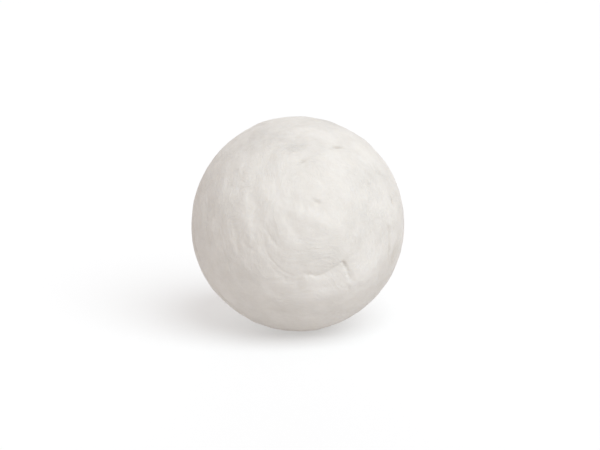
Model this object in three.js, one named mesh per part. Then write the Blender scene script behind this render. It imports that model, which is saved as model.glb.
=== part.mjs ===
// A pressed cotton ball: one piece of cotton wadding, wound up round and pressed hard in a round mould.
// Millimetres, +Z up, origin at the ball's centre. The end of the winding faces the front, -Y.
// A place on the ball is [around, up]: degrees round from the front towards +X, and degrees above the
// equator.
import * as THREE from "three";

// Driving dimensions: the ball is a little taller than it is wide, as it left the mould.
const width = 49.8; // along X
const depth = 50; // along Y
const height = 50.2; // along Z
const radius = (width + depth + height) / 6;

// The faces are this many times finer at the winding's end, where the marks are, than on average.
const frontFineness = 2.4;
const cutsPerEdge = 20; // of the icosahedron that the faces start from

const windingEnd = [8, 17];

// Lens-shaped pits, where one veil of cotton stops short of the next. Turn is from level, in degrees.
const pits = [
  { place: [37, 53], turn: -6, length: 2.6, width: 0.9, depth: 0.4 },
  { place: [3, 46], turn: 25, length: 1.7, width: 0.9, depth: 0.22 },
  { place: [11, 23], turn: -25, length: 2.3, width: 1.1, depth: 0.3 },
  { place: [64, 17], turn: 80, length: 1.5, width: 0.9, depth: 0.3 },
  { place: [24, -10], turn: 60, length: 1.9, width: 1.5, depth: 0.6 },
];

// Creases pressed into the skin, each along a smooth line of places. A lip is how far the skin stands up
// beside the crease, on the side away from the winding's end.
const creases = [
  {
    // the last turn's edge
    places: [[-17, 5], [-15, -4], [-8, -12], [2, -15], [11, -15], [19, -11], [24, -9]],
    width: 1.7,
    depth: 0.3,
    lip: 0.16,
  },
  {
    // a split below the pit at its end
    places: [[24, -10], [27, -14], [30, -19]],
    width: 1.3,
    depth: 0.4,
    lip: 0.1,
  },
  {
    places: [[28, -22], [30, -26], [34, -31]],
    width: 1.4,
    depth: 0.16,
    lip: 0,
  },
  {
    places: [[55, 4], [57, -7], [58, -13]],
    width: 1.5,
    depth: 0.22,
    lip: 0.1,
  },
  {
    places: [[-37, 14], [-34, 4], [-31, -3]],
    width: 1.6,
    depth: 0.2,
    lip: 0.08,
  },
];

function directionOf([around, up]) {
  const a = THREE.MathUtils.degToRad(around);
  const u = THREE.MathUtils.degToRad(up);
  return new THREE.Vector3(Math.sin(a) * Math.cos(u), -Math.cos(a) * Math.cos(u), Math.sin(u));
}

// Draws directions together towards a pole, keeping angles, so that faces there are small and well shaped.
function gathered(direction, pole, fineness) {
  const share = (fineness ** 2 - 1) / (fineness ** 2 + 1);
  const shrink = Math.sqrt(1 - share ** 2);
  const towards = direction.dot(pole);
  return direction
    .clone()
    .multiplyScalar(shrink)
    .addScaledVector(pole, share + towards * (1 - shrink))
    .divideScalar(1 + share * towards);
}

// How deep a pit is at a point on the ball: a smooth lens, deepest in its middle.
function pitShape({ place, turn, length, width, depth }) {
  const outwards = directionOf(place);
  const level = new THREE.Vector3(0, 0, 1).cross(outwards).normalize();
  const along = level.applyAxisAngle(outwards, THREE.MathUtils.degToRad(turn));
  const across = outwards.clone().cross(along);
  return (point) => {
    if (point.dot(outwards) < 0) return 0;
    const a = point.dot(along) / (length / 2);
    const b = point.dot(across) / (width / 2);
    return depth * Math.exp(-a * a - b * b);
  };
}

// How deep a crease is at a point: a valley along a smooth line, fading out at both ends, less its lip.
function creaseShape({ places, width, depth, lip }) {
  const onBall = places.map((place) => directionOf(place).multiplyScalar(radius));
  const line = new THREE.CatmullRomCurve3(onBall);
  const steps = Math.ceil(line.getLength() / (width / 3));
  const points = line.getSpacedPoints(steps);
  const pole = directionOf(windingEnd);
  return (point) => {
    let nearest = 0;
    for (let i = 1; i <= steps; i++) {
      if (point.distanceToSquared(points[i]) < point.distanceToSquared(points[nearest])) nearest = i;
    }
    const away = point.distanceTo(points[nearest]);
    if (away > 3 * width) return 0;
    const fade = Math.sqrt(Math.sin((Math.PI * (nearest + 0.5)) / (steps + 1)));
    const valley = depth * Math.exp(-((away / (width / 2)) ** 2));
    const outer = point.dot(pole) < points[nearest].dot(pole);
    const raised = outer ? lip * Math.exp(-(((away - width) / (width / 2)) ** 2)) : 0;
    return fade * (valley - raised);
  };
}

function ballGeometry() {
  const geometry = new THREE.IcosahedronGeometry(1, cutsPerEdge);
  const pole = directionOf(windingEnd);
  const marks = [...pits.map(pitShape), ...creases.map(creaseShape)];
  const corners = geometry.getAttribute("position");
  for (let i = 0; i < corners.count; i++) {
    const even = new THREE.Vector3().fromBufferAttribute(corners, i).normalize();
    const direction = gathered(even, pole, frontFineness);
    const onBall = direction.clone().multiplyScalar(radius);
    const pressedIn = marks.reduce((sum, mark) => sum + mark(onBall), 0);
    const skin = direction.clone().multiply(new THREE.Vector3(width / 2, depth / 2, height / 2));
    skin.addScaledVector(direction, -pressedIn);
    corners.setXYZ(i, skin.x, skin.y, skin.z);
  }
  geometry.computeVertexNormals();
  return geometry;
}

const cotton = new THREE.MeshStandardMaterial({
  name: "cotton",
  color: 0xe4e0d9,
  roughness: 0.95,
  metalness: 0,
});
const cottonBall = new THREE.Mesh(ballGeometry(), cotton);
cottonBall.name = "cotton_ball";

const part = new THREE.Group();
part.name = "pressed_cotton_ball";
part.add(cottonBall);

export default part;
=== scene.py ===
import math

import bmesh
import bpy
import numpy as np
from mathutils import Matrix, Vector


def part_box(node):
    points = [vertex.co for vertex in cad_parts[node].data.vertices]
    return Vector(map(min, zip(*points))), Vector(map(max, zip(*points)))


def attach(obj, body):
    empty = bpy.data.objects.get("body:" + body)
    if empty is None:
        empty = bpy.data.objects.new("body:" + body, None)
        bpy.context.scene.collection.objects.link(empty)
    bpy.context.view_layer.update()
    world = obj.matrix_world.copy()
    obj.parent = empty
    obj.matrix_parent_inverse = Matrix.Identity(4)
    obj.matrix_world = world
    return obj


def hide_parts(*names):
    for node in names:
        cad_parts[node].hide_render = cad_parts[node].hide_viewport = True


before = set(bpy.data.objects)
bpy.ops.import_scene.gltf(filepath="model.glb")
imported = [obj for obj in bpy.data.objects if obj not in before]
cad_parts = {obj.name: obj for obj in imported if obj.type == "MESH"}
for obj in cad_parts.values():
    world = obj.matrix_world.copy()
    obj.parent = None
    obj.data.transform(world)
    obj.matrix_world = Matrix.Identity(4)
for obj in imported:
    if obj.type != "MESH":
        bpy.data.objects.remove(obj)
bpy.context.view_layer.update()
low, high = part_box("cotton_ball")
ballCentre = (low + high) / 2
halfSize = np.array((high - low) / 2)
millimetre = 0.001
ballRadius = halfSize.mean() / millimetre  # the skin is worked out in millimetres

# A place on the skin is degrees round from the front towards +X, then degrees above the equator.
# Sizes and heights are in millimetres; a height is how far the skin stands up.
cottonBall = {
    "cuts": 127,  # along each edge of the cube that the skin starts from
    "frontFineness": 1.5,  # squares are this much smaller at the winding's end than on average
    "seed": 11,
    "strandLength": 9,  # times a strand's width
    "strandWander": [(15, 1.9), (6, 0.45), (2.8, 0.09)],  # size of a bend, how far it carries the strands
    "lumps": [(17, 0.02), (7, 0.028), (3.6, 0.018)],  # size, height
    "mottle": [(2.6, 0.022), (1.3, 0.012)],  # size, depth
    "mottlePatches": 12,  # size of the patches that it shows in
    "veils": [(6, 0.02, 0.15)],  # width, height of the edge, its sharpness
    "veilPatches": (8, 14),
    "veilDip": 0.8,  # the skin dips at the foot of a veil's edge, by this share of its height
    "strands": [(3.4, 0.02), (1.7, 0.016), (0.9, 0.012)],  # width, height
    "strandPatches": 9,
    "strandLeast": 0.4,  # share of their height that is left between the patches
    "flatEnd": 13,  # closer than this to the end of a winding, strands lie flatter
    "flatLeast": 0.3,  # and this share of their height is left at the end itself
    "fray": [(1.4, 0.1), (5, 0.12)],  # size of a bend, how far it carries a crease off its line
    "lipSlopes": (0.7, 1.1),  # width of a crease's lip up to its crest and beyond it, times its reach
}

# The cotton is wound in rings round more than one pole; the share says how much of each shows.
windings = [
    {"pole": (8, 17), "share": 1, "strandsPerMillimetre": 1.5},
    {"pole": (82, -34), "share": 0.4, "strandsPerMillimetre": 1.9},
]

# Creases follow a line of places, each with its share of the full depth. On the right of the line, the skin
# rises softly to the height of the lip at the distance of the reach, and settles again beyond it.
creases = [
    {  # the last turn's edge, on its left
        "line": [
            (-18, 7, 0), (-17, 3, 0.8), (-14.5, -5, 0.9),
            (-10.5, -10.5, 1), (-5, -14, 1), (0, -15.5, 0),
        ],
        "width": 0.36, "depth": 0.08, "lip": 0.03, "reach": 1.3,
    },
    {  # and on its right, where it is deepest
        "line": [(0, -13.6, 0), (4.7, -13.8, 0.9), (10.7, -14.8, 1), (16, -12.6, 0.7), (24.4, -8.4, 0.5)],
        "width": 0.42, "depth": 0.16, "lip": 0.22, "reach": 2,
    },
    {  # the layer under that edge stands up like a pillow, most of all on the right
        "line": [
            (-6, -14, 0), (4, -14, 0.18), (14, -13, 0.36), (22, -9.5, 0.75),
            (29, -5.5, 1), (39, 1.5, 0.7), (52, 5, 0),
        ],
        "width": 1, "depth": 0, "lip": 0.72, "reach": 5.3,
    },
    {  # the split below the fold
        "line": [(24.2, -9, 0.6), (26.2, -13.2, 1), (28.6, -17, 0.8), (30.4, -19.6, 0)],
        "width": 0.42, "depth": 0.33, "lip": 0, "reach": 1,
    },
    {
        "line": [(27, -20, 0), (28.4, -23, 1), (30.2, -26.3, 0.9), (34.3, -31.8, 0)],
        "width": 0.42, "depth": 0.1, "lip": 0, "reach": 1,
    },
    {  # a veil's edge on the right
        "line": [
            (54.4, 7, 0), (55.3, 3.6, 0.7), (56, -2, 0.5),
            (57.4, -7.6, 1), (57.8, -12, 0.4), (59.5, -17, 0),
        ],
        "width": 0.55, "depth": 0.24, "lip": 0.03, "reach": 1.5,
    },
    {  # a low rim round the winding's end, on its left
        "line": [(-17, 50, 0), (-24, 42, 0.7), (-27, 30, 1), (-24, 16, 1), (-20, 8, 0.6), (-17, 2, 0)],
        "width": 1, "depth": 0, "lip": 0.15, "reach": 1.8,
    },
    {  # and below it
        "line": [(-27, -4, 0), (-20, -9, 0.7), (-10, -15, 1), (-2, -18, 1), (6, -19.5, 0.8), (14, -18, 0)],
        "width": 1, "depth": 0, "lip": 0.18, "reach": 2.4,
    },
    {
        "line": [(-38, 13, 0), (-35.9, 9.9, 0.6), (-33.1, 4.2, 0.8), (-31.6, -2.7, 1), (-31, -6, 0)],
        "width": 0.7, "depth": 0.11, "lip": 0.03, "reach": 1.2,
    },
    {
        "line": [(-25, 13, 0), (-23.8, 10.7, 1), (-21.8, 3.5, 0.9), (-20.5, 0, 0)],
        "width": 0.5, "depth": 0.05, "lip": 0.03, "reach": 1,
    },
    {
        "line": [(-31, 4, 0), (-28, 1.4, 0.9), (-24, -1.8, 1), (-21, -3.6, 0)],
        "width": 0.5, "depth": 0.05, "lip": 0.03, "reach": 1,
    },
    {
        "line": [(-16.6, 7, 0), (-14.4, 5.4, 0.8), (-10.5, 0.6, 1), (-8.6, -2, 0)],
        "width": 0.38, "depth": 0.06, "lip": 0.03, "reach": 1,
    },
    {
        "line": [(-17, -6, 0), (-11.5, -12.6, 0.9), (-5.4, -16.6, 0.8), (-2, -18, 0)],
        "width": 0.38, "depth": 0.07, "lip": 0.04, "reach": 1.2,
    },
    {
        "line": [(6, -21.6, 0), (8.9, -22.1, 0.9), (15.2, -21.7, 1), (21.6, -20.5, 0.7), (25, -19, 0)],
        "width": 0.4, "depth": 0.03, "lip": 0.05, "reach": 1.4,
    },
    {  # streaks down the upper left
        "line": [(-62, 50, 0), (-54, 42, 0.8), (-47, 30, 1), (-42, 18, 0.9), (-39, 10, 0)],
        "width": 0.7, "depth": 0.025, "lip": 0.04, "reach": 1.2,
    },
    {
        "line": [(-44, 52, 0), (-39, 42, 0.8), (-36, 30, 1), (-33, 20, 0)],
        "width": 0.7, "depth": 0.02, "lip": 0.035, "reach": 1.1,
    },
    {  # a shallow fold down to the middle from the upper left
        "line": [
            (-22, 42, 0), (-15, 33, 0.4), (-9.5, 23.5, 0.7), (-5.5, 16, 1),
            (-1.5, 10, 1), (2, 4, 0.8), (5, 0, 0),
        ],
        "width": 0.8, "depth": 0.03, "lip": 0.17, "reach": 1.9,
    },
    {  # wrinkles under the fold
        "line": [(-20, -19, 0), (-17, -22, 0.8), (-10.6, -27.7, 1), (-3.3, -29.3, 0.8), (3, -29, 0)],
        "width": 0.5, "depth": 0.04, "lip": 0.1, "reach": 1.4,
    },
    {
        "line": [(33, -25.5, 0), (36.5, -24.5, 1), (41, -23.6, 1), (45.7, -23, 0.6), (49, -22, 0)],
        "width": 0.8, "depth": 0.08, "lip": 0.05, "reach": 1.6,
    },
    {
        "line": [(-20, -37.5, 0), (-15, -39, 1), (-8, -40, 0.9), (0, -42, 0.5), (6, -45, 0)],
        "width": 0.6, "depth": 0.07, "lip": 0.05, "reach": 1.5,
    },
    {  # the slope under the winding's end
        "line": [(19, 4, 0), (14, 7, 1), (6, 11.5, 1), (-1, 14, 1), (-6, 14.5, 0)],
        "width": 0.9, "depth": 0.02, "lip": 0.17, "reach": 1.8,
    },
]

# Pits are lens-shaped gaps between veils; turn is from level, in degrees.
pits = [
    {"place": (36.7, 53.2), "turn": -4, "length": 3, "width": 0.75, "depth": 0.42},
    {"place": (3.4, 45.4), "turn": 25, "length": 2, "width": 0.85, "depth": 0.24},
    {"place": (10.5, 22.8), "turn": -20, "length": 2, "width": 0.95, "depth": 0.26},
    {"place": (64.3, 17.3), "turn": 80, "length": 1.7, "width": 0.9, "depth": 0.4},
    {"place": (24.6, -10.2), "turn": -66, "length": 1.9, "width": 1.1, "depth": 0.22},
]

# Swells are soft rises, and hollows where their height is below zero.
swells = [
    {"place": (11.2, -27), "turn": 5, "length": 7, "width": 4.6, "height": 0.33},
    {"place": (-6, -30), "turn": -15, "length": 9, "width": 3.4, "height": 0.2},
    {"place": (3, 14), "turn": -4, "length": 6.5, "width": 2.6, "height": 0.1},
    {"place": (64, -13), "turn": 80, "length": 6, "width": 3, "height": -0.25},
]

# Creases and pits like those are scattered over the rest of the ball, along its windings.
scattered = {
    "clearOfEnd": 76,  # degrees from the winding's end
    "widestRing": -0.97,  # for creases, the cosine of its angle from the winding's end
    "creases": 34,
    "creaseLength": (6, 20),
    "creaseWidth": (0.4, 0.9),
    "creaseDepth": (0.04, 0.2),
    "creaseShares": (0, 0.8, 1, 0.7, 0),  # of that depth, from end to end
    "creaseStray": 0.03,  # radians that each of those places strays from its ring
    "lip": (0.04, 0.2),
    "reach": (1.2, 3),
    "pits": 14,
    "pitLength": (1.4, 3),
    "pitWidth": (0.7, 1),
    "pitDepth": (0.2, 0.45),
}


def directionOf(around, up):
    a = math.radians(around)
    u = math.radians(up)
    return np.array([math.sin(a) * math.cos(u), -math.cos(a) * math.cos(u), math.sin(u)])


def ballOfCotton():
    # a cube cut into squares, swelled to a ball, with the squares kept about equal
    bm = bmesh.new()
    bmesh.ops.create_cube(bm, size=2)
    bmesh.ops.subdivide_edges(bm, edges=bm.edges[:], cuts=cottonBall["cuts"], use_grid_fill=True)
    mesh = bpy.data.meshes.new("cotton_ball_skin")
    bm.to_mesh(mesh)
    bm.free()
    corners = np.empty(len(mesh.vertices) * 3)
    mesh.vertices.foreach_get("co", corners)
    spread = np.tan(corners.reshape(-1, 3) * math.pi / 4)
    directions = spread / np.linalg.norm(spread, axis=1, keepdims=True)
    # and then drawn together at the winding's end, which keeps them square
    pole = directionOf(*windings[0]["pole"])
    fineness = cottonBall["frontFineness"] ** 2
    share = (fineness - 1) / (fineness + 1)
    shrink = math.sqrt(1 - share**2)
    towards = (directions @ pole)[:, None]
    directions = (directions * shrink + pole * (share + towards * (1 - shrink))) / (1 + share * towards)
    return mesh, directions


def softField(points, size, random, waves=48):
    # a smooth field of about unit height: plane waves in all directions, all of about one size
    field = np.zeros(len(points))
    for _ in range(waves):
        heading = random.normal(size=3)
        waveLength = size * random.uniform(0.75, 1.4)
        heading *= 2 * math.pi / (waveLength * np.linalg.norm(heading))
        field += np.cos(points @ heading + random.uniform(0, 2 * math.pi))
    return field * math.sqrt(2 / waves)


def patches(points, size, random, steepness=1.6):
    # 1 inside soft-edged patches of about this size, 0 between them
    return 0.5 + 0.5 * np.tanh(steepness * softField(points, size, random))


def levelAndRise(direction):
    # along the skin there: level, and at a right angle to that
    level = np.cross([0, 0, 1], direction)
    level /= np.linalg.norm(level)
    return level, np.cross(direction, level)


def strandPlaces(directions, points, pole, random):
    # where each point lies on a winding: drawn in along the strands, true across them
    level, rise = levelAndRise(pole)
    across = ballRadius * np.arccos(np.clip(directions @ pole, -1, 1))
    for size, drift in cottonBall["strandWander"]:
        across += drift * softField(points, size, random)
    along = np.stack([points @ level, points @ rise], axis=1) / cottonBall["strandLength"]
    return np.column_stack([along, across])


def lineThrough(knots, step=0.25):
    # a smooth line over the skin through the knots, with the share of depth at each point
    knots = [2 * knots[0] - knots[1], *knots, 2 * knots[-1] - knots[-2]]
    points = []
    for before, start, end, after in zip(knots, knots[1:], knots[2:], knots[3:]):
        count = max(2, round(np.linalg.norm(end[:3] - start[:3]) * ballRadius / step))
        for t in np.arange(count) / count:
            bend = 2 * before - 5 * start + 4 * end - after
            twist = 3 * start - before - 3 * end + after
            points.append(start + 0.5 * ((end - before) * t + bend * t**2 + twist * t**3))
    points = np.array(points)
    line = points[:, :3] / np.linalg.norm(points[:, :3], axis=1, keepdims=True)
    return line, np.clip(points[:, 3], 0, 1)


def creaseHeight(directions, fray, knots, crease):
    # a groove along the line through the knots, and the lip on its right
    height = np.zeros(len(directions))
    line, shares = lineThrough(knots)
    middle = line.mean(axis=0)
    middle /= np.linalg.norm(middle)
    margin = 3 * (crease["width"] + crease["reach"]) / ballRadius  # past it, nothing is left of the crease
    spread = np.arccos(np.clip(line @ middle, -1, 1)).max() + margin
    near = np.flatnonzero(directions @ middle > math.cos(min(spread, math.pi)))
    nearest = (directions[near] @ line.T).argmax(axis=1)
    away = (directions[near] - line[nearest]) * ballRadius
    headings = np.gradient(line, axis=0)
    steps = np.linalg.norm(headings, axis=1, keepdims=True)
    headings /= steps
    toRight = np.einsum("ij,ij->i", away, np.cross(headings, line)[nearest]) + fray[near]
    ahead = np.einsum("ij,ij->i", away, headings[nearest])
    along = nearest + ahead / (steps[nearest, 0] * ballRadius)
    onLine = np.clip(along, 0, len(line) - 1)
    beyondEnd = (along - onLine) * steps[nearest, 0] * ballRadius
    share = np.interp(onLine, np.arange(len(line)), shares)
    share *= np.exp(-((beyondEnd / crease["width"]) ** 2))
    groove = crease["depth"] * np.exp(-((toRight / crease["width"]) ** 2))
    fromCrest = toRight / crease["reach"] - 1
    lip = crease["lip"] * np.exp(-((fromCrest / np.where(fromCrest < 0, *cottonBall["lipSlopes"])) ** 2))
    height[near] = share * (lip - groove)
    return height


def lensShape(directions, outwards, lens):
    # 1 in the middle of the lens, fading out past its length and width
    level, rise = levelAndRise(outwards)
    t = math.radians(lens["turn"])
    along = directions @ (level * math.cos(t) + rise * math.sin(t)) * ballRadius / (lens["length"] / 2)
    across = directions @ (rise * math.cos(t) - level * math.sin(t)) * ballRadius / (lens["width"] / 2)
    return np.exp(-(along**2) - across**2) * (directions @ outwards > 0)


def handMarks(directions, fray):
    height = np.zeros(len(directions))
    for crease in creases:
        knots = [np.append(directionOf(around, up), share) for around, up, share in crease["line"]]
        height += creaseHeight(directions, fray, knots, crease)
    for pit in pits:
        height -= pit["depth"] * lensShape(directions, directionOf(*pit["place"]), pit)
    for swell in swells:
        height += swell["height"] * lensShape(directions, directionOf(*swell["place"]), swell)
    return height


def scatteredMarks(directions, fray, random):
    # a ring is an angle from the winding's end, and a turn is how far round it
    height = np.zeros(len(directions))
    pole = directionOf(*windings[0]["pole"])
    level, rise = levelAndRise(pole)

    def onRing(ring, turn):
        return math.cos(ring) * pole + math.sin(ring) * (math.cos(turn) * level + math.sin(turn) * rise)

    nearest = math.cos(math.radians(scattered["clearOfEnd"]))
    shares = scattered["creaseShares"]
    for _ in range(scattered["creases"]):
        ring = math.acos(random.uniform(scattered["widestRing"], nearest))
        start = random.uniform(0, 2 * math.pi)
        length = random.uniform(*scattered["creaseLength"]) * random.choice([-1, 1])
        turn = length / (ballRadius * math.sin(ring))
        crease = {
            "width": random.uniform(*scattered["creaseWidth"]),
            "depth": random.uniform(*scattered["creaseDepth"]),
            "lip": random.uniform(*scattered["lip"]),
            "reach": random.uniform(*scattered["reach"]),
        }
        knots = []
        for step, share in enumerate(shares):
            strayed = ring + random.normal(0, scattered["creaseStray"])
            knot = onRing(strayed, start + turn * step / (len(shares) - 1))
            knots.append(np.append(knot, share))
        height += creaseHeight(directions, fray, knots, crease)
    for _ in range(scattered["pits"]):
        pit = {
            "turn": random.uniform(0, 180),
            "length": random.uniform(*scattered["pitLength"]),
            "width": random.uniform(*scattered["pitWidth"]),
        }
        place = onRing(math.acos(random.uniform(-1, nearest)), random.uniform(0, 2 * math.pi))
        height -= random.uniform(*scattered["pitDepth"]) * lensShape(directions, place, pit)
    return height


def windingHeight(points, strands, random):
    # veils end in low ragged edges, and strands lie side by side on them
    height = np.zeros(len(points))
    dip = cottonBall["veilDip"]
    for width, amount, sharpness in cottonBall["veils"]:
        field = softField(strands, width, random) / sharpness
        edge = np.tanh(field) - dip * np.exp(-((field + dip) ** 2))
        for size in cottonBall["veilPatches"]:
            edge *= patches(points, size, random)
        height += amount * edge
    least = cottonBall["strandLeast"]
    for width, amount in cottonBall["strands"]:
        strand = amount * softField(strands, width, random)
        height += strand * (least + (1 - least) * patches(points, cottonBall["strandPatches"], random))
    return height * np.clip(strands[:, 2] / cottonBall["flatEnd"], cottonBall["flatLeast"], 1)


def shapeSkin(mesh, directions):
    random = np.random.default_rng(cottonBall["seed"])
    points = directions * ballRadius
    height = np.zeros(len(points))
    for size, amount in cottonBall["lumps"]:
        height += amount * softField(points, size, random)
    for size, amount in cottonBall["mottle"]:
        hollows = np.abs(softField(points, size, random))
        height -= amount * hollows * patches(points, cottonBall["mottlePatches"], random)
    for number, winding in enumerate(windings):
        strands = strandPlaces(directions, points, directionOf(*winding["pole"]), random)
        height += winding["share"] * windingHeight(points, strands, random)
        wound = mesh.attributes.new("winding%d" % number, "FLOAT_VECTOR", "POINT")
        wound.data.foreach_set("vector", strands.ravel())
    print("skin: lumps, veils and strands")

    fray = np.zeros(len(points))
    for size, amount in cottonBall["fray"]:
        fray += amount * softField(points, size, random)
    marks = handMarks(directions, fray) + scatteredMarks(directions, fray, random)
    height += marks
    print("skin: creases, pits and swells")

    skin = np.array(ballCentre) + directions * (halfSize + height[:, None] * millimetre)
    mesh.vertices.foreach_set("co", skin.ravel())
    mesh.update()
    mesh.shade_smooth()
    markHeight = mesh.attributes.new("markHeight", "FLOAT", "POINT")
    markHeight.data.foreach_set("value", marks)


cottonFinish = {
    "colour": (0.79, 0.772, 0.737, 1),
    "thin": (0.735, 0.714, 0.676, 1),  # where the wadding is thinner
    "thickness": (0.27, 0.57),  # from all thin to all in the plain colour
    "crease": (0.62, 0.585, 0.535, 1),  # painted shade in creases and pits, all of it all the way down, this many millimetres below the skin
    "creaseDepth": 0.4,
    "paintedHighlight": (0.87, 0.857, 0.828, 1),  # painted highlight on swells and lips, all of it all the way up a swell, this many above it
    "paintedHighlightHeight": 1.1,
    "streaks": 0.14,  # how much of the thickness follows the strands
    "clouds": 0.82,  # and how much comes and goes in clouds
    "cloudScale": 170,  # scales are per metre
    "cloudShift": (0, 0, 0.2),  # moves the clouds over the ball
    "roughness": 0.95,
    "shine": 0.2,
    "sheen": 0.12,
    "sheenRoughness": 0.6,
    "glow": 0.15,  # share of light that goes through the top fibres
    "glowDepth": 0.0012,
    "glowReach": (1, 0.9, 0.75),  # of red, green and blue, times that depth
    "fibresPerStrand": 1.6,
    "fibreWidth": 0.07,  # how far a fibre reaches either side of the noise's middle value
    "flatLeast": 0.2,  # share of their relief that is left at the end of a winding
    "pressedScale": 90,  # strands stand up in some places and are pressed flat in others
    "pressedRange": (0.38, 0.66),
    "pressedLeast": 0.45,
    "grainScale": 1100,
    "strandHeight": 0.000044,  # heights of the finest relief, and the depth of the glow, are in metres
    "fibreHeight": 0.000035,
    "grainHeight": 0.00003,
}


def addNode(nodes, kind, **settings):
    node = nodes.new(kind)
    for name, value in settings.items():
        socket = node.inputs.get(name.title())
        if socket:
            socket.default_value = value
        else:
            setattr(node, name, value)
    return node


def feed(links, socket, value):
    # the value is another node's socket, or a number or colour of its own
    if isinstance(value, bpy.types.NodeSocket):
        links.new(value, socket)
    else:
        socket.default_value = value


def mathNode(nodes, links, operation, first, second=0):
    node = nodes.new("ShaderNodeMath")
    node.operation = operation
    feed(links, node.inputs[0], first)
    feed(links, node.inputs[1], second)
    return node.outputs["Value"]


def mixNode(nodes, links, share, first, second):
    node = nodes.new("ShaderNodeMix")
    node.data_type = "RGBA"
    feed(links, node.inputs["Factor"], share)
    feed(links, node.inputs["A"], first)
    feed(links, node.inputs["B"], second)
    return node.outputs["Result"]


def rangeNode(nodes, links, value, span, ends=(0, 1), kind="SMOOTHSTEP"):
    # goes from one end to the other while the value goes over the span
    node = addNode(nodes, "ShaderNodeMapRange", interpolation_type=kind)
    for name, number in zip(("From Min", "From Max", "To Min", "To Max"), (*span, *ends)):
        node.inputs[name].default_value = number
    feed(links, node.inputs["Value"], value)
    return node.outputs["Result"]


def noiseNode(nodes, links, place, scale, **settings):
    node = addNode(nodes, "ShaderNodeTexNoise", **settings)
    feed(links, node.inputs["Vector"], place)
    feed(links, node.inputs["Scale"], scale)
    return node.outputs["Fac"]


def strandGroup():
    # strands and single fibres laid along one winding: highest on top of them
    group = bpy.data.node_groups.new("laidStrands", "ShaderNodeTree")
    group.interface.new_socket("Place", in_out="INPUT", socket_type="NodeSocketVector")
    group.interface.new_socket("Per Millimetre", in_out="INPUT", socket_type="NodeSocketFloat")
    group.interface.new_socket("Strands", in_out="OUTPUT", socket_type="NodeSocketFloat")
    group.interface.new_socket("Fibres", in_out="OUTPUT", socket_type="NodeSocketFloat")
    nodes = group.nodes
    links = group.links
    given = nodes.new("NodeGroupInput").outputs
    out = nodes.new("NodeGroupOutput").inputs
    fromEnd = nodes.new("ShaderNodeSeparateXYZ")
    links.new(given["Place"], fromEnd.inputs["Vector"])
    flatEnd = (0, cottonBall["flatEnd"])
    flat = rangeNode(nodes, links, fromEnd.outputs["Z"], flatEnd, (cottonFinish["flatLeast"], 1), "LINEAR")

    strands = noiseNode(nodes, links, given["Place"], given["Per Millimetre"], detail=3, roughness=0.6)
    raised = mathNode(nodes, links, "SUBTRACT", strands, 0.5)
    links.new(mathNode(nodes, links, "MULTIPLY", raised, flat), out["Strands"])

    # a fibre lies wherever the noise passes its middle value
    finer = cottonFinish["fibresPerStrand"]
    perMillimetre = mathNode(nodes, links, "MULTIPLY", given["Per Millimetre"], finer)
    fibres = noiseNode(nodes, links, given["Place"], perMillimetre, detail=2, roughness=0.5, distortion=0.4)
    fromMiddle = mathNode(nodes, links, "ABSOLUTE", mathNode(nodes, links, "SUBTRACT", fibres, 0.5))
    thread = rangeNode(nodes, links, fromMiddle, (0, cottonFinish["fibreWidth"]), (1, 0))
    links.new(mathNode(nodes, links, "MULTIPLY", thread, flat), out["Fibres"])
    return group


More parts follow.
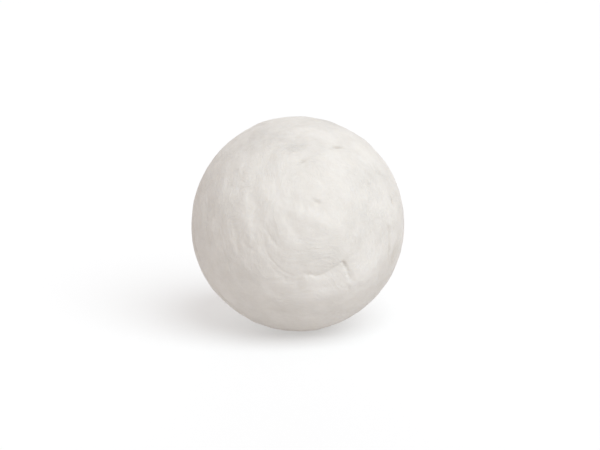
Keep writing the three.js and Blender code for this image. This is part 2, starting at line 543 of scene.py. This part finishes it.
def cottonMaterial():
    material = bpy.data.materials.new("pressedCotton")
    material.use_nodes = True
    nodes = material.node_tree.nodes
    links = material.node_tree.links
    nodes.clear()
    output = nodes.new("ShaderNodeOutputMaterial")
    cotton = nodes.new("ShaderNodeBsdfPrincipled")
    cotton.inputs["Roughness"].default_value = cottonFinish["roughness"]
    cotton.inputs["Specular IOR Level"].default_value = cottonFinish["shine"]
    cotton.inputs["Sheen Weight"].default_value = cottonFinish["sheen"]
    cotton.inputs["Sheen Roughness"].default_value = cottonFinish["sheenRoughness"]
    cotton.inputs["Subsurface Weight"].default_value = cottonFinish["glow"]
    cotton.inputs["Subsurface Radius"].default_value = cottonFinish["glowReach"]
    cotton.inputs["Subsurface Scale"].default_value = cottonFinish["glowDepth"]
    links.new(cotton.outputs["BSDF"], output.inputs["Surface"])
    place = nodes.new("ShaderNodeTexCoord").outputs["Object"]

    # strands and fibres of each winding, one over another
    laid = strandGroup()
    strands = 0
    fibres = 0
    for number, winding in enumerate(windings):
        wound = addNode(nodes, "ShaderNodeAttribute", attribute_name="winding%d" % number)
        layer = nodes.new("ShaderNodeGroup")
        layer.node_tree = laid
        layer.inputs["Per Millimetre"].default_value = winding["strandsPerMillimetre"]
        links.new(wound.outputs["Vector"], layer.inputs["Place"])
        shownStrands = mathNode(nodes, links, "MULTIPLY", layer.outputs["Strands"], winding["share"])
        shownFibres = mathNode(nodes, links, "MULTIPLY", layer.outputs["Fibres"], winding["share"])
        strands = mathNode(nodes, links, "ADD", shownStrands, strands)
        fibres = mathNode(nodes, links, "ADD", shownFibres, fibres)

    # they stand up in some places and are pressed flat in others
    pressed = noiseNode(nodes, links, place, cottonFinish["pressedScale"], detail=2, roughness=0.6)
    pressedEnds = (cottonFinish["pressedLeast"], 1)
    showing = rangeNode(nodes, links, pressed, cottonFinish["pressedRange"], pressedEnds)
    strandRelief = mathNode(nodes, links, "MULTIPLY", strands, showing)
    fibreRelief = mathNode(nodes, links, "MULTIPLY", fibres, showing)
    grain = noiseNode(nodes, links, place, cottonFinish["grainScale"], detail=3, roughness=0.65)
    normal = None
    for height, distance in (
        (strandRelief, cottonFinish["strandHeight"]),
        (fibreRelief, cottonFinish["fibreHeight"]),
        (grain, cottonFinish["grainHeight"]),
    ):
        bump = addNode(nodes, "ShaderNodeBump", strength=1, distance=distance)
        links.new(height, bump.inputs["Height"])
        if normal:
            links.new(normal, bump.inputs["Normal"])
        normal = bump.outputs["Normal"]
    links.new(normal, cotton.inputs["Normal"])

    # thin and thick places of the wadding
    shift = addNode(nodes, "ShaderNodeMapping", location=cottonFinish["cloudShift"])
    links.new(place, shift.inputs["Vector"])
    clouds = noiseNode(
        nodes, links, shift.outputs["Vector"], cottonFinish["cloudScale"], detail=6, roughness=0.75
    )
    streaky = mathNode(nodes, links, "MULTIPLY", strands, cottonFinish["streaks"])
    cloudy = mathNode(nodes, links, "MULTIPLY", clouds, cottonFinish["clouds"])
    thickness = mathNode(nodes, links, "ADD", streaky, cloudy)
    thick = rangeNode(nodes, links, thickness, cottonFinish["thickness"])
    colour = mixNode(nodes, links, thick, cottonFinish["thin"], cottonFinish["colour"])

    # painted highlight where it swells and on crease lips, painted shade down in its creases and pits
    markHeight = addNode(nodes, "ShaderNodeAttribute", attribute_name="markHeight").outputs["Fac"]
    # painted highlight up the swells and lips, painted shade down the creases and pits, both by mark height
    for name, reach in (("paintedHighlight", cottonFinish["paintedHighlightHeight"]), ("crease", -cottonFinish["creaseDepth"])):
        share = rangeNode(nodes, links, markHeight, (0, reach), kind="LINEAR")
        colour = mixNode(nodes, links, share, colour, cottonFinish[name])
    links.new(colour, cotton.inputs["Base Color"])
    print("material: pressed cotton")
    return material


def makeBall():
    mesh, directions = ballOfCotton()
    shapeSkin(mesh, directions)
    piece = bpy.data.objects.new("cotton_ball_skin", mesh)
    bpy.context.scene.collection.objects.link(piece)
    mesh.materials.append(cottonMaterial())
    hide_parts("cotton_ball")
    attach(piece, "root")
    print("ball:", len(mesh.polygons), "faces")


studio = {
    "floorSize": 40,  # metres, so that its edge is never seen
    "floorColour": (0.62, 0.62, 0.62, 1),
    "floorGlow": (0.36, 0.37, 0.375, 1),  # the floor is lit a little from below, which softens the shadow
    "bounceColour": (0.5, 0.5, 0.5, 1),  # the same two for the light that it throws on the ball
    "bounceGlow": (0.287, 0.264, 0.252, 1),
    "backdrop": (0.99, 0.99, 0.99, 1),
    "skyColour": (1, 0.9, 0.855, 1),
    "skyStrength": 0.575,
}

# Suns far off, as wide as big soft boxes: where each shines from, and its width in degrees.
lights = [
    {"name": "key", "from": (35, 50), "strength": 2.05, "colour": (0.88, 0.957, 1), "softness": 50},
    {"name": "back", "from": (180, 8), "strength": 0.7, "colour": (0.86, 0.95, 1), "softness": 40},
]


def glowingFloor(nodes, links, colour, glow):
    diffuse = addNode(nodes, "ShaderNodeBsdfDiffuse", color=colour)
    lit = addNode(nodes, "ShaderNodeEmission", color=glow)
    both = nodes.new("ShaderNodeAddShader")
    links.new(diffuse.outputs["BSDF"], both.inputs[0])
    links.new(lit.outputs["Emission"], both.inputs[1])
    return both.outputs["Shader"]


def makeFloor():
    bm = bmesh.new()
    bmesh.ops.create_grid(bm, x_segments=1, y_segments=1, size=studio["floorSize"] / 2)
    bmesh.ops.translate(bm, verts=bm.verts[:], vec=(0, 0, low.z))
    mesh = bpy.data.meshes.new("floor")
    bm.to_mesh(mesh)
    bm.free()
    floor = bpy.data.objects.new("floor", mesh)
    bpy.context.scene.collection.objects.link(floor)
    material = bpy.data.materials.new("paleFloor")
    material.use_nodes = True
    nodes = material.node_tree.nodes
    links = material.node_tree.links
    nodes.clear()
    output = nodes.new("ShaderNodeOutputMaterial")
    either = nodes.new("ShaderNodeMixShader")
    seen = nodes.new("ShaderNodeLightPath")
    bounce = glowingFloor(nodes, links, studio["bounceColour"], studio["bounceGlow"])
    pale = glowingFloor(nodes, links, studio["floorColour"], studio["floorGlow"])
    links.new(seen.outputs["Is Camera Ray"], either.inputs["Fac"])
    links.new(bounce, either.inputs[1])
    links.new(pale, either.inputs[2])
    links.new(either.outputs["Shader"], output.inputs["Surface"])
    mesh.materials.append(material)


def makeLights():
    for light in lights:
        sun = bpy.data.lights.new(light["name"], "SUN")
        sun.angle = math.radians(light["softness"])
        sun.energy = light["strength"]
        sun.color = light["colour"]
        lamp = bpy.data.objects.new(light["name"], sun)
        lamp.rotation_euler = Vector(directionOf(*light["from"])).to_track_quat("Z", "Y").to_euler()
        bpy.context.scene.collection.objects.link(lamp)

    world = bpy.data.worlds.new("studio")
    world.use_nodes = True
    nodes = world.node_tree.nodes
    links = world.node_tree.links
    sky = nodes["Background"]
    sky.inputs["Color"].default_value = studio["skyColour"]
    sky.inputs["Strength"].default_value = studio["skyStrength"]
    backdrop = addNode(nodes, "ShaderNodeBackground", color=studio["backdrop"])
    seen = nodes.new("ShaderNodeLightPath")
    either = nodes.new("ShaderNodeMixShader")
    links.new(seen.outputs["Is Camera Ray"], either.inputs["Fac"])
    links.new(sky.outputs["Background"], either.inputs[1])
    links.new(backdrop.outputs["Background"], either.inputs[2])
    links.new(either.outputs["Shader"], nodes["World Output"].inputs["Surface"])
    bpy.context.scene.world = world
    print("studio: floor and lights")


camera = {
    "lens": 85,
    "around": 0,
    "up": 12,
    "distance": 0.33237,  # from the ball's centre
    "shift": (0.0035, -0.002),
}


def makeCamera():
    data = bpy.data.cameras.new("camera")
    data.lens = camera["lens"]
    data.sensor_width = 36
    data.shift_x, data.shift_y = camera["shift"]
    data.clip_start = 0.01
    data.clip_end = 100
    cameraObject = bpy.data.objects.new("camera", data)
    outwards = Vector(directionOf(camera["around"], camera["up"]))
    cameraObject.location = ballCentre + outwards * camera["distance"]
    cameraObject.rotation_euler = outwards.to_track_quat("Z", "Y").to_euler()
    bpy.context.scene.collection.objects.link(cameraObject)
    bpy.context.scene.camera = cameraObject
    print("camera: %d mm lens" % camera["lens"])


makeBall()
makeFloor()
makeLights()
makeCamera()
bpy.context.scene.view_settings.view_transform = "Standard"
